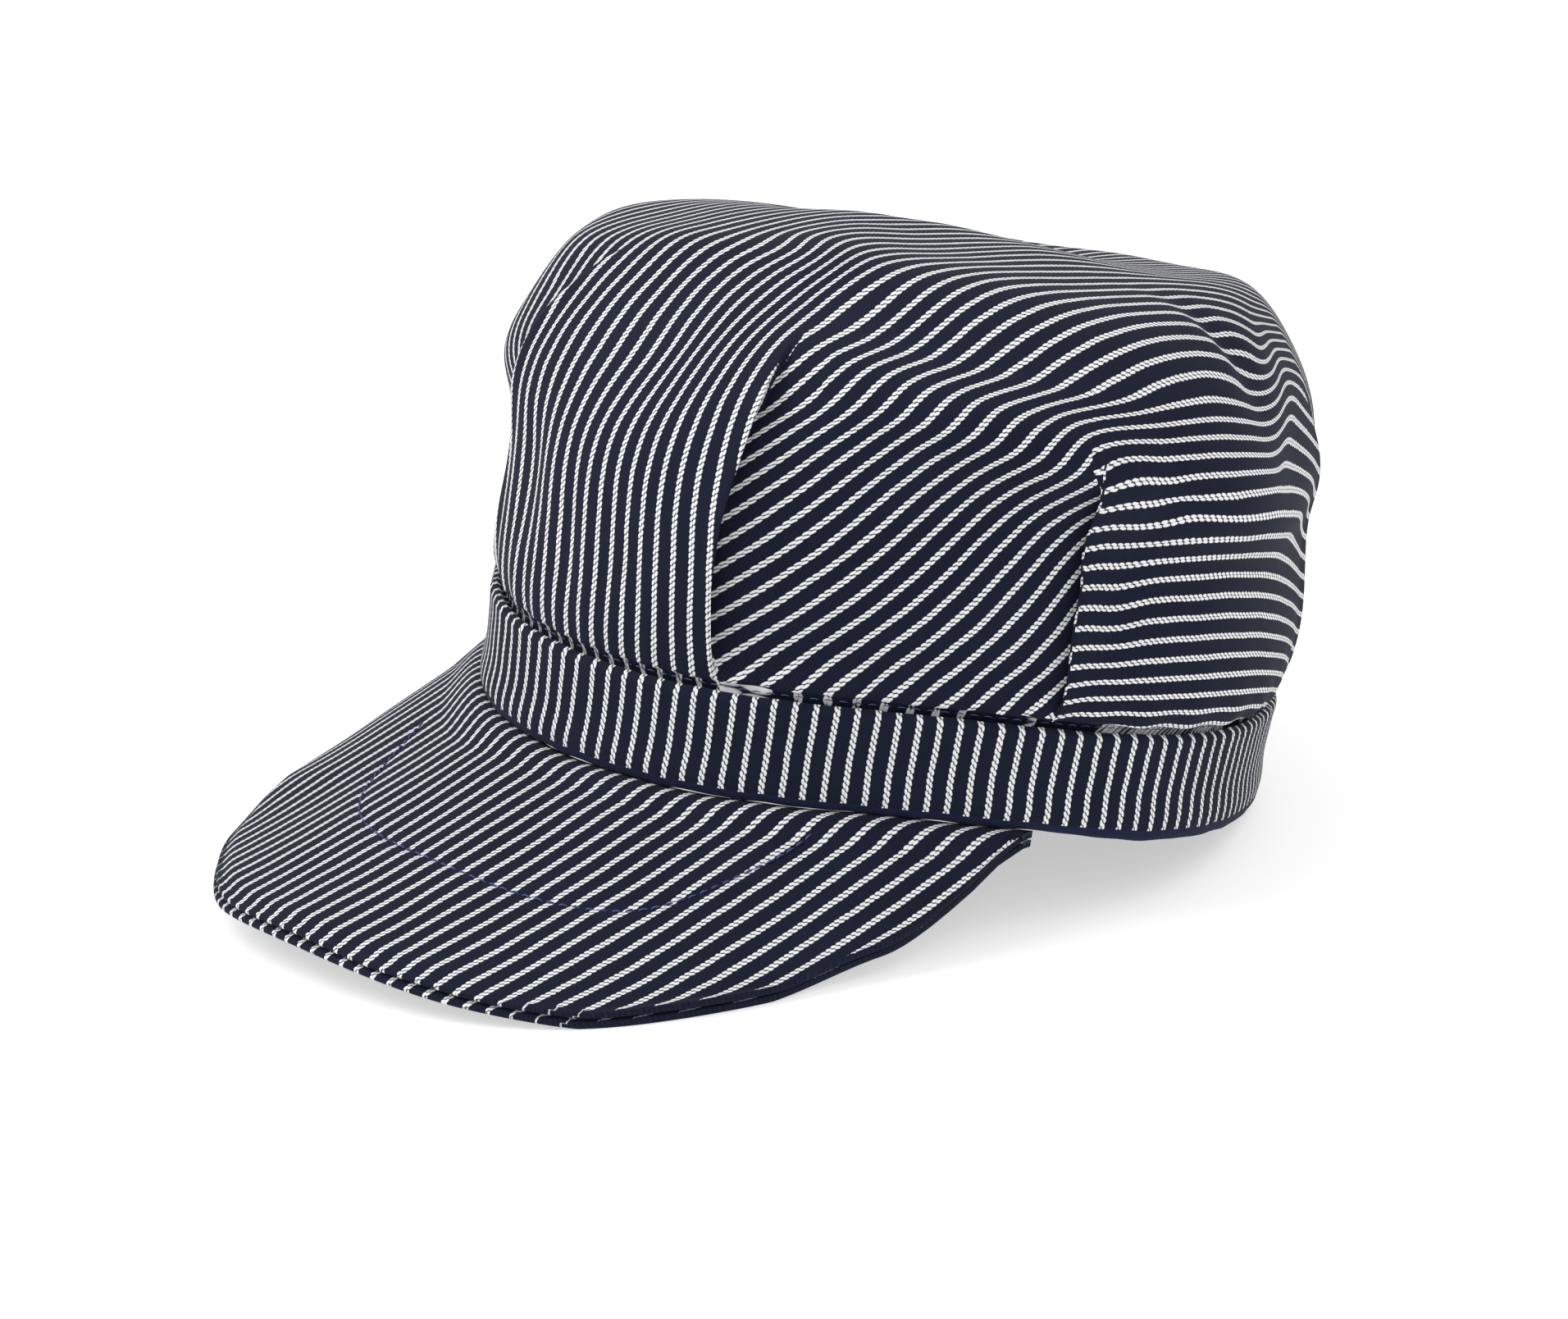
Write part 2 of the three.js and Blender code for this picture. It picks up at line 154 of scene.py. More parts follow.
# Place across the stripes where they slant, on the panels at the corners, and where they lie level, on
# those at the sides: a constant, then shares of d, z, d d, z z and d z, for a place d degrees from the
# way given first and z millimetres above CLOTH_LEVEL
CLOTH_LEVEL = 60
SLANT = (48, (96.5, 1.213, -0.66, 0.0036, 0, 0.0044))
LEVEL = (97, (143, -0.0436, -0.96, -0.0084, 0.0036, 0))
# Dip of the level stripes beside the side's fold: millimetres, degrees and share of the way up of its
# middle, and its spreads
LEVEL_DIP = (1.4, 80.5, 0.34, 3.2, 0.16)
# Way the cloth faces above the pleats on the far side, by degrees from the front
FAR_TURN = ((192, 180), (217, 222), (245, 270), (270, 270), (301, 318), (328, 360))

# Where the band's stripes are counted from at the front, how far its foot hangs lower behind the peak,
# and the first and last place of its plain hem, along the cloth from the inside of its top edge
BAND_STRIPES_FROM = 43.26
HEM_DROP = 1.1
HEM = (26.9, 30.5)
# Drop of the peak's front edge, the shares of the way out where the cloth turns down there and at the
# sides, how far the lower cloth's edge is set in on the wearer's left, and the share of cloth that the
# peak's arch takes up at ARCH_PLACE from its middle
EDGE_DROP = 1.1
FRONT_TURN_FROM = 0.94
SIDE_TURN_FROM = 0.85
LOWER_SET_IN = 1.5
PEAK_ARCH = 0.056
ARCH_PLACE = 95

# Outer edge of the peak from its tip to each end: share of the half width, then sideways and
# forwards from the band as shares of VISOR_REACH
VISOR_EDGE_LEFT = (
    (0, 0, 1), (0.14, 0.031, 1.012), (0.27, 0.061, 1.02), (0.4, 0.076, 1.029), (0.52, 0.099, 1.017),
    (0.62, 0.112, 0.984), (0.72, 0.104, 0.921), (0.81, 0.085, 0.841), (0.89, 0.057, 0.718),
    (0.95, 0.041, 0.558), (0.985, 0.024, 0.336), (1, -0.01, 0.062),
)
VISOR_EDGE_RIGHT = (
    (0, 0, 1), (0.14, 0.018, 0.994), (0.27, 0.031, 0.982), (0.4, 0.037, 0.942), (0.52, 0.042, 0.914),
    (0.62, 0.054, 0.884), (0.72, 0.052, 0.837), (0.81, 0.043, 0.77), (0.89, 0.026, 0.673),
    (0.95, 0.013, 0.532), (0.985, 0.002, 0.323), (1, -0.023, 0.062),
)
# Line of topstitching on the peak, x and y from end to end
TOPSTITCH = (
    (-59.7, -75), (-52.8, -89), (-43, -106), (-30, -118.5), (-15, -125), (4, -127.1), (24.4, -125.4),
    (39, -120), (50.8, -109.8), (58.7, -85), (60.7, -71), (59.8, -59.7),
)


def smooth(x):
    s = np.clip(x, 0, 1)
    return s * s * (3 - 2 * s)


def wave(c, a):
    return (c[0] + c[1] * np.cos(a) + c[2] * np.sin(a) + c[3] * np.cos(2 * a) + c[4] * np.sin(2 * a)
            + c[5] * np.cos(3 * a) + c[6] * np.sin(3 * a))


def band_radius(a):
    return RADIUS * sum(c * np.cos(k * a) for k, c in enumerate(BAND_PLAN))


def band_foot(a):
    return BAND_WARP * (np.sin(a) ** 2 * np.cos(a) - 0.794 * np.cos(2 * a))


def polar(r, a, z):
    return np.stack(np.broadcast_arrays(r * np.sin(a), -r * np.cos(a), z), -1)


def turn_from(deg, at):
    """Degrees from one way to another, between -180 and 180."""
    return (deg - at + 180) % 360 - 180


def travelled(points):
    """Length gone from the first row of points to each row."""
    steps = np.linalg.norm(np.diff(points, axis=0), axis=-1)
    return np.concatenate([np.zeros((1, *steps.shape[1:])), np.cumsum(steps, axis=0)])


def spline_weights(knots, t):
    """Weights of the knots' values at each t, for a natural cubic spline."""
    n = len(knots)
    h = np.diff(knots)
    left, right = np.eye(n), np.zeros((n, n))
    for i in range(1, n - 1):
        left[i, i - 1:i + 2] = h[i - 1], 2 * (h[i - 1] + h[i]), h[i]
        right[i, i - 1:i + 2] = 6 / h[i - 1], -6 / h[i - 1] - 6 / h[i], 6 / h[i]
    bend = np.linalg.solve(left, right)
    i = np.clip(np.searchsorted(knots, t, "right") - 1, 0, n - 2)
    a = ((knots[i + 1] - t) / h[i])[:, None]
    b = 1 - a
    straight = a * np.eye(n)[i] + b * np.eye(n)[i + 1]
    curved = (a ** 3 - a) * bend[i] + (b ** 3 - b) * bend[i + 1]
    return straight + curved * (h[i] ** 2)[:, None] / 6


def spline(table, x):
    """A table of rows (knot, value...) read at x."""
    rows = np.array(table, float)
    return spline_weights(rows[:, 0], np.ravel(x)) @ rows[:, 1:]


def at_rest(points):
    """From the cap's own frame, millimetres, to the frame of the part, metres."""
    f, s = math.radians(LEAN_FRONT), math.radians(LEAN_SIDE)
    turn = Matrix.Rotation(s, 3, "Y") @ Matrix.Rotation(-f, 3, "X")
    return (points @ np.array(turn).T + REST_SHIFT) * MM


def build(name, points, faces, material, uv=None):
    """A mesh from points, in metres, with each face's cloth coordinates where they are given."""
    mesh = bpy.data.meshes.new(name)
    mesh.from_pydata(points.tolist(), [], faces)
    if uv:
        layer = mesh.uv_layers.new(name="cloth")
        layer.data.foreach_set("uv", np.ravel(np.concatenate([np.array(face, float) for face in uv])))
    mesh.materials.append(material)
    mesh.shade_smooth()
    mesh.validate()
    piece = bpy.data.objects.new(name, mesh)
    bpy.context.collection.objects.link(piece)
    return piece


# Crown


def nearness(deg, t, spot):
    """1 at a place on the crown, falling to 0 round it."""
    at, share, wide, tall = spot[:4]
    return np.exp(-(turn_from(deg, at) / wide) ** 2 - ((t[:, None] - share) / tall) ** 2)


def crown_point(theta, t):
    """Smooth form of the crown. theta is an array (rows, columns) in radians, t is one share a row."""
    rb, top = band_radius(theta), band_foot(theta) + BAND_HEIGHT
    rim = BAND_HEIGHT + CROWN_RISE * wave(RIM, theta)
    shoulder = rim - CROWN_RISE * wave(SHOULDER, theta)
    low, mid, upper, high = (rb + RADIUS * wave(c, theta) for c in BULGE)
    flat = high - RIM_ROUND * wave(RIM_WIDTH, theta)
    inner = rim + TOP_RISE * wave(TOP_FORM, theta)
    zero = 0 * theta
    r = np.array([rb - INSIDE, low, mid, upper, high, high + (flat - high) * 0.46, flat,
                  flat * 0.72, flat * 0.36, zero])
    z = np.array([top - CROWN_TUCK * 0.4, top + CROWN_TUCK, top + (shoulder - top) * 0.33,
                  top + (shoulder - top) * 0.7, shoulder, shoulder + (rim - shoulder) * 0.56, rim,
                  inner, inner + (MIDDLE - inner) * 0.86, MIDDLE + zero])
    w = spline_weights(KNOTS, t)
    hollow = nearness(np.degrees(theta), t, HOLLOW) * smooth((1 - t) / 0.12)[:, None]
    height = np.einsum("tk,ktc->tc", w, z) - TOP_HOLLOW * hollow
    return polar(np.einsum("tk,ktc->tc", w, r), theta, height)


def crown_normal(theta, t):
    """Way out of the cloth, which is straight up over the middle of the top."""
    step = 0.004
    up = crown_point(theta, np.minimum(1, t + step)) - crown_point(theta, t - step)
    round_it = crown_point(theta + step, t) - crown_point(theta - step, t)
    n = np.cross(round_it, up)
    n /= np.linalg.norm(n, axis=-1, keepdims=True) + 1e-12
    top = smooth((t - 0.8) / 0.1)[:, None, None]
    n = n * (1 - top) + np.array((0, 0, 1.0)) * top
    return n / np.linalg.norm(n, axis=-1, keepdims=True)


def fold_fade(deg, t):
    """1 where a pleat is at its full depth, 0 at the band and above the fold's end."""
    rows = np.array(FOLD_END)
    end = np.interp(turn_from(deg, 0), rows[:, 0], rows[:, 1])
    t = t[:, None]
    return smooth((t - 0.03) / 0.1) * (1 - smooth((t - end + FOLD_EASE) / FOLD_EASE))


def wander(deg, t):
    """Degrees that the cloth near a fold edge is carried aside with it."""
    total = 0 * deg + 0 * t[:, None]
    for edge, table in FOLD_WANDER:
        rows = np.array(table)
        carried = np.exp(-(turn_from(deg, edge) / WANDER_WIDE) ** 2)
        total = total + np.interp(t, rows[:, 0], rows[:, 1])[:, None] * carried
    return total


def dents(deg, t):
    return sum(DENT_DEPTH * dent[4] * nearness(deg, t, dent) for dent in DENTS)


def panel_depth(deg, panel):
    """How far a corner panel is set back: a curve from one edge to the other, drawn to its middle value."""
    first, second, _, depths = panel
    if depths is None:
        return 0 * deg
    u = np.clip((deg - first) / (second - first), 0, 1)
    return PLEAT_DEPTH * (depths[0] * (1 - u) ** 2 + 2 * depths[1] * u * (1 - u) + depths[2] * u * u)


def crown_columns():
    """Columns round the crown: (degrees, panel, degrees into the cloth past a fold edge, side of it)."""
    turn = (0, 0.25, 0.5, 0.75, 1.0, 1.25, 1.5, FOLD_TURN)
    free = (2.1, 2.7, 3.4, 4.2, 5.2, 6.3, FOLD_REACH)
    columns = []
    for k, (first, second, _, depths) in enumerate(PANELS):
        if depths is None:
            lips = (0.3, 0.7, 1.2, 1.9, 2.8)
            between = second - first - 2 * lips[-1]
            n = round(between / COLUMN_STEP)
            inner = [first + e for e in lips]
            inner += [first + lips[-1] + between * i / n for i in range(1, n)]
            inner += [second - e for e in reversed(lips)]
            columns += [(d, k, None, 0) for d in inner]
        else:
            between = second - first - 2 * FOLD_REACH
            n = round(between / COLUMN_STEP)
            columns += [(first, k, e, 1) for e in turn + free]
            columns += [(first + FOLD_REACH + between * i / n, k, None, 0) for i in range(1, n)]
            columns += [(second, k, e, -1) for e in reversed(turn + free)]
    return columns


def across_cloth(form, d, z):
    """One of the two fitted forms of the place across the stripes."""
    fixed, by_d, by_z, by_dd, by_zz, by_dz = form
    return fixed + by_d * d + by_z * z + by_dd * d * d + by_zz * z * z + by_dz * d * z


def between_stripes(across):
    """The nearest line of plain cloth beside each place across the stripes."""
    return (np.floor(across / STRIPE_PITCH) + 0.5) * STRIPE_PITCH


def cloth_at(deg, t, form, below, rim_at, panel):
    """Cloth coordinates across and along the stripes, millimetres, for one panel's cloth.

    Over the top and down the front the stripes run straight, along the sides they lie level and on
    the corner panels they slant. below is the distance below the rim, rim_at the rim's radius."""
    _, _, faces, depths = panel
    a = np.radians(deg)
    x, y, z = form[..., 0], form[..., 1], form[..., 2] - CLOTH_LEVEL
    t = t[:, None]
    drop = np.maximum(below, 0)
    round_it = np.abs(turn_from(deg, 0))
    ahead = smooth((110 - round_it) / 40)
    across = x.copy()
    for share, tall, place, wide, stray in SWAY:
        across = across - ahead * stray * np.exp(-((t - share) / tall) ** 2 - ((x - place) / wide) ** 2)
    slant = across_cloth(SLANT[1], np.minimum(round_it, 180 - round_it) - SLANT[0], z)
    dip, at, share, wide, tall = LEVEL_DIP
    level = across_cloth(LEVEL[1], round_it - LEVEL[0], z)
    level = level - dip * np.exp(-((round_it - at) / wide) ** 2 - ((t - share) / tall) ** 4)
    # above the ends of the folds one panel's cloth runs smoothly into the next
    joined = smooth((t - 0.4) / 0.15)
    if faces > 180:
        # the far side's cloth hangs straight down from the rim, square to the way each panel faces
        ways, turned = zip(*FAR_TURN)
        way = np.radians(faces * (1 - joined) + np.interp(deg % 360, ways, turned) * joined)
        down = rim_at * np.sin(a) + drop * np.sin(way)
    else:
        aside = smooth((round_it - 64) / 16) * smooth((156 - round_it) / 16)
        down = (slant if depths else level) * (1 - joined) + (slant * (1 - aside) + level * aside) * joined
    if faces not in (0, 180):
        low = smooth((RIM_SHARE + 0.05 * smooth((round_it - 100) / 30) - t) / 0.12)
        across = across * (1 - low) + down * low
    tucked = smooth((0.034 - t) / 0.014)
    across = across * (1 - tucked) + between_stripes(across) * tucked
    along = np.where(t > RIM_SHARE, y, -rim_at * np.cos(a) - drop * np.cos(math.radians(faces)))
    return np.stack([across, along], -1)


def make_crown(material):
    columns = crown_columns()
    t = np.concatenate([np.linspace(0.05, 0.7, 92), np.linspace(0.7, LAST_SHARE, 27)[1:]])
    base = np.array([c[0] for c in columns])
    fade = fold_fade(base, t)
    deg = np.empty((len(t), len(columns)))
    depth = np.empty_like(deg)
    for j, (edge, k, past, side) in enumerate(columns):
        panel = PANELS[k]
        if past is None:
            deg[:, j] = edge
            depth[:, j] = panel_depth(np.array(edge), panel) * fade[:, j]
            continue
        turned = smooth(past / FOLD_TURN)
        if past <= FOLD_TURN:
            folded = -FOLD_TUCK * turned
        else:
            free = (past - FOLD_TURN) / (FOLD_REACH - FOLD_TURN)
            folded = -FOLD_TUCK + (FOLD_REACH + FOLD_TUCK) * free
        place = past * (1 - fade[:, j]) + folded * fade[:, j]
        deg[:, j] = edge + side * place
        depth[:, j] = panel_depth(np.array(edge + side * past), panel) * turned * fade[:, j]
    flat_deg = deg.copy()
    deg = deg + wander(deg, t)
    theta = np.radians(deg)
    points = crown_point(theta, t)
    normal = crown_normal(theta, t)
    # folds stand a little proud at their edges
    lip = np.zeros_like(deg)
    for first, second, _, depths in PANELS:
        if depths is None:
            continue
        for edge, side in ((first, -1), (second, 1)):
            off = side * turn_from(flat_deg, edge)
            lip = lip + FOLD_LIP * np.exp(-((off - 0.6) / 1.6) ** 2) * (depth < 0.3 * PLEAT_DEPTH) * fade
    depth = depth + dents(deg, t) - lip
    # fine waves: puckers where the cloth meets the band, and slack cloth on top
    pucker = PUCKER * np.exp(-(t[:, None] / 0.13) ** 2) * np.sin(theta * 47 + 2 * np.sin(theta * 5))
    x, y = points[..., 0], points[..., 1]
    on_top = smooth((t[:, None] - 0.6) / 0.1) * (1 - smooth((t[:, None] - 0.9) / 0.09))
    slack = SLACK * on_top * np.sin(x * 0.11 + 1.3) * np.sin(y * 0.075 + x * 0.03)
    depth = depth + pucker + slack
    outer = points - normal * depth[..., None]

    # cloth coordinates, with the smooth form's lengths below the rim
    fine = np.linspace(0.03, RIM_SHARE, 240)
    step = 2.0
    ring = np.arange(-180, 180 + step, step)
    form = crown_point(np.radians(np.broadcast_to(ring, (len(fine), len(ring)))), fine)
    gone = travelled(form)
    table = np.array([np.interp(t, fine, column) for column in (gone[-1] - gone).T]).T
    around = (deg + 180) % 360 / step
    left = np.clip(around.astype(int), 0, len(ring) - 2)
    mix = around - left
    row = np.arange(len(t))[:, None]
    below = table[row, left] * (1 - mix) + table[row, left + 1] * mix
    rim_radius = np.hypot(form[-1, :, 0], form[-1, :, 1])
    rim_at = rim_radius[left] * (1 - mix) + rim_radius[left + 1] * mix
    cloth = [cloth_at(deg, t, points, below, rim_at, panel) for panel in PANELS]

    # the foot of the crown, tucked behind the band's rolled edge
    n = len(columns)
    straight = np.radians(base)

    def foot_row(dr, dz):
        return polar(band_radius(straight) + dr, straight, band_foot(straight) + BAND_HEIGHT + dz)

    rows = [foot_row(-INSIDE, -CROWN_TUCK), foot_row(-INSIDE, -BAND_THICK * 0.2),
            foot_row(-BAND_THICK * 0.75, BAND_THICK * 0.4 + SEAM_GAP)]
    lips = len(rows)
    rows = rows + list(outer)

    # lining side: the smooth form set back by the pleats and the wall, clear of the tucked cloth
    t_in = np.concatenate([np.linspace(0.06, 0.66, 30), np.linspace(0.66, LAST_SHARE, 11)[1:]])
    wide = np.broadcast_to(base, (len(t_in), n))
    back = np.zeros_like(wide, dtype=float)
    for panel in PANELS:
        first, second, _, depths = panel
        if depths is None:
            continue
        middle_of = (first + second) / 2
        off = turn_from(wide, middle_of)
        half = (second - first) / 2 + FOLD_TUCK + 1.5
        inside_it = smooth((half + 1.5 - np.abs(off)) / 3.0)
        back = np.maximum(back, inside_it * panel_depth(middle_of + off, panel) * fold_fade(base, t_in))
    angle = np.radians(wide + wander(wide, t_in))
    inner = crown_point(angle, t_in) - crown_normal(angle, t_in) \
        * (back + dents(np.degrees(angle), t_in) + CROWN_WALL)[..., None]
    in_rows = [foot_row(-INSIDE - CROWN_WALL, -d) for d in (CROWN_TUCK, BAND_THICK * 0.2)] + list(inner)

    points = np.concatenate([np.concatenate(rows), np.concatenate(in_rows),
                             [[0, 0, MIDDLE], [0, 0, MIDDLE - CROWN_WALL]]])
    start_in = len(rows) * n
    top_out, top_in = len(points) - 2, len(points) - 1
    faces, uv = [], []

    def corner(row, j, k):
        """Cloth coordinates at a row and column, on the cloth of panel k."""
        if row < lips:
            x, y = cloth[k][0, j % n]
            return x, y + lips - row
        return tuple(cloth[k][row - lips, j % n])

    def owner(j):
        """The panel whose cloth shows between columns j and j + 1."""
        (_, k, past, side), (_, k2, past2, side2) = columns[j], columns[(j + 1) % n]
        if side == 1 and past is not None and past < FOLD_TURN:
            return (k - 1) % len(PANELS)
        if side2 == -1 and past2 is not None and past2 < FOLD_TURN:
            return (k2 + 1) % len(PANELS)
        return k

    for i in range(len(rows) - 1):
        for j in range(n):
            k = owner(j)
            faces.append((i * n + j, i * n + (j + 1) % n, (i + 1) * n + (j + 1) % n, (i + 1) * n + j))
            uv.append((corner(i, j, k), corner(i, j + 1, k), corner(i + 1, j + 1, k), corner(i + 1, j, k)))
    last = len(rows) - 1
    for j in range(n):
        faces.append((last * n + j, last * n + (j + 1) % n, top_out))
        uv.append((corner(last, j, 0), corner(last, j + 1, 0), (0, 0)))
    for i in range(len(in_rows) - 1):
        for j in range(n):
            a, b = start_in + i * n + j, start_in + i * n + (j + 1) % n
            faces.append((a, a + n, b + n, b))
            uv.append(tuple((points[q][0], points[q][1] + points[q][2]) for q in (a, a + n, b + n, b)))
    last = start_in + (len(in_rows) - 1) * n
    for j in range(n):
        faces.append((last + (j + 1) % n, last + j, top_in))
        uv.append(tuple((points[q][0], points[q][1]) for q in (last + (j + 1) % n, last + j, top_in)))
    for j in range(n):
        a, b = j, (j + 1) % n
        faces.append((b, a, start_in + a, start_in + b))
        uv.append(PLAIN_FACE)
    return build("pleated_crown", at_rest(points), faces, material, uv)


# Band


def section_line(points, step_mm):
    """Points spaced along a smooth line through the given ones."""
    rows = np.array(points, float)
    gone = travelled(rows)
    return spline(np.column_stack([gone, rows]), np.linspace(0, gone[-1], int(gone[-1] / step_mm) + 1))


def make_band(material):
    """The headband: one strip of denim folded over at the top and turned up inside at the foot."""
    h, w, roll, half = BAND_HEIGHT, BAND_THICK, BAND_ROLL, DENIM / 2
    line = section_line((
        (-1.35, h - 5.0), (-1.4, h - 2.2), (-1.1, h - 0.85), (-0.4, h - half), (roll * 0.4, h - 1.2),
        (roll - half, h - 2.8), (roll * 0.5 - half, h * 0.68), (roll * 0.2 - half, h * 0.35),
        (-half, w * 0.4), (-0.85, 0.55), (-1.6, half), (-2.3, 0.75), (half - w, 1.7),
        (half - w, h * 0.5), (half - w, h - w * 0.6)), 0.8)
    along = np.gradient(line, axis=0)
    along /= np.linalg.norm(along, axis=1, keepdims=True)
    # to the left of the way the line runs
    out = np.stack([-along[:, 1], along[:, 0]], 1)
    gone = travelled(line)
    loop = np.concatenate([line + out * half, (line - out * half)[::-1]])
    v_of = np.concatenate([gone, gone[::-1]])
    cols = 540
    a = np.linspace(0, 2 * np.pi, cols, endpoint=False)
    r = band_radius(a)
    dense = np.linspace(0, 2 * np.pi, 4001)
    arc = travelled(polar(band_radius(dense), dense, 0))
    s_of = np.append(np.interp(a, dense, arc), arc[-1]) + BAND_STRIPES_FROM
    wobble = 0.18 * np.sin(a * 31 + 2 * np.sin(a * 3)) + 0.12 * np.sin(a * 53 + 1)
    points = []
    for dr, dz in loop:
        near_top = smooth((dz - h * 0.5) / (h * 0.5))
        behind = smooth((np.abs(turn_from(np.degrees(a), 0)) - 78) / 14)
        hem = HEM_DROP * behind * smooth((3 - dz) / 2)
        points.append(polar(r + dr + wobble * near_top * 0.6, a, band_foot(a) + dz + wobble * 0.5 - hem))
    m = len(loop)
    faces, uv = [], []
    for i in range(m):
        i2 = (i + 1) % m
        for j in range(cols):
            j2 = (j + 1) % cols
            faces.append((i * cols + j, i2 * cols + j, i2 * cols + j2, i * cols + j2))
            s1, s2, v1, v2 = s_of[j], s_of[j + 1], v_of[i], v_of[i2]
            uv.append(((s1, v1), (s1, v2), (s2, v2), (s2, v1)))
    placed = at_rest(np.concatenate(points))
    placed[:, 2] = np.maximum(0, placed[:, 2])
    return build("headband", placed, faces, material, uv)


# Peak


def visor_height(x, y):
    """Height of the peak's free upper face at a place, before the cap leans."""
    X, Y = x / RADIUS, (-y - band_radius(0)) / VISOR_REACH
    return VISOR_DROP * (-0.0339 + 0.0887 * X - 0.8935 * X * X - 1.0899 * Y + 0.1948 * Y * Y
                         + 0.2205 * X * X * Y - 0.0104 * Y ** 3
                         + 0.12 * smooth((-X - 0.5) / 0.37) * (1 - smooth((Y - 0.15) / 0.33))
                         + 0.03 * np.exp(-((X + 0.84) / 0.24) ** 2 - ((Y - 0.42) / 0.3) ** 2))


def visor_point(s, v, grow):
    """Upper face of the peak. s runs across it from -1 to 1, v from under the band to the edge."""
    a = s * math.radians(VISOR_HALF_ANGLE)
    rb = band_radius(a)
    inner, band = polar(rb - BAND_THICK * 0.83, a, 0), polar(rb, a, 0)
    left, right = spline(VISOR_EDGE_LEFT, abs(s)), spline(VISOR_EDGE_RIGHT, abs(s))
    edge = np.where((s > 0)[:, None], left, right)
    x1 = band[:, 0] + np.sign(s) * edge[:, 0] * VISOR_REACH
    y1 = band[:, 1] - edge[:, 1] * VISOR_REACH
    span = np.hypot(x1 - inner[:, 0], y1 - inner[:, 1])
    reach = v[:, None] * (1 + grow / span)
    x = inner[:, 0] + (x1 - inner[:, 0]) * reach
    y = inner[:, 1] + (y1 - inner[:, 1]) * reach
    around = np.arctan2(x, -y)
    clear = np.hypot(x, y) - band_radius(around)
    sewn, free = band_foot(a) - SEAM_GAP, visor_height(x, y)
    mix = smooth((clear + BAND_THICK * 0.17) / (BAND_THICK * 3))
    level, fall = sewn - np.maximum(0, clear) * 0.12, sewn + (free - sewn) * mix
    ease = 1.5 * smooth(clear / 8)
    z = (level + fall) / 2 - np.sqrt(((level - fall) / 2) ** 2 + ease ** 2)
    out = np.stack([x1 - inner[:, 0], y1 - inner[:, 1]], 1) / span[:, None]
    return np.stack([x, y, z], -1), out


def stitch_groove(x, y):
    """Depth of the groove that the topstitching draws into the upper cloth."""
    line = section_line(TOPSTITCH, 1.5)
    near = np.min(np.hypot(x[..., None] - line[:, 0], y[..., None] - line[:, 1]), axis=-1)
    return 0.35 * np.exp(-(near / 1.1) ** 2)


VISOR_PITCH = VISOR_WALL + SEAM_GAP * 1.6


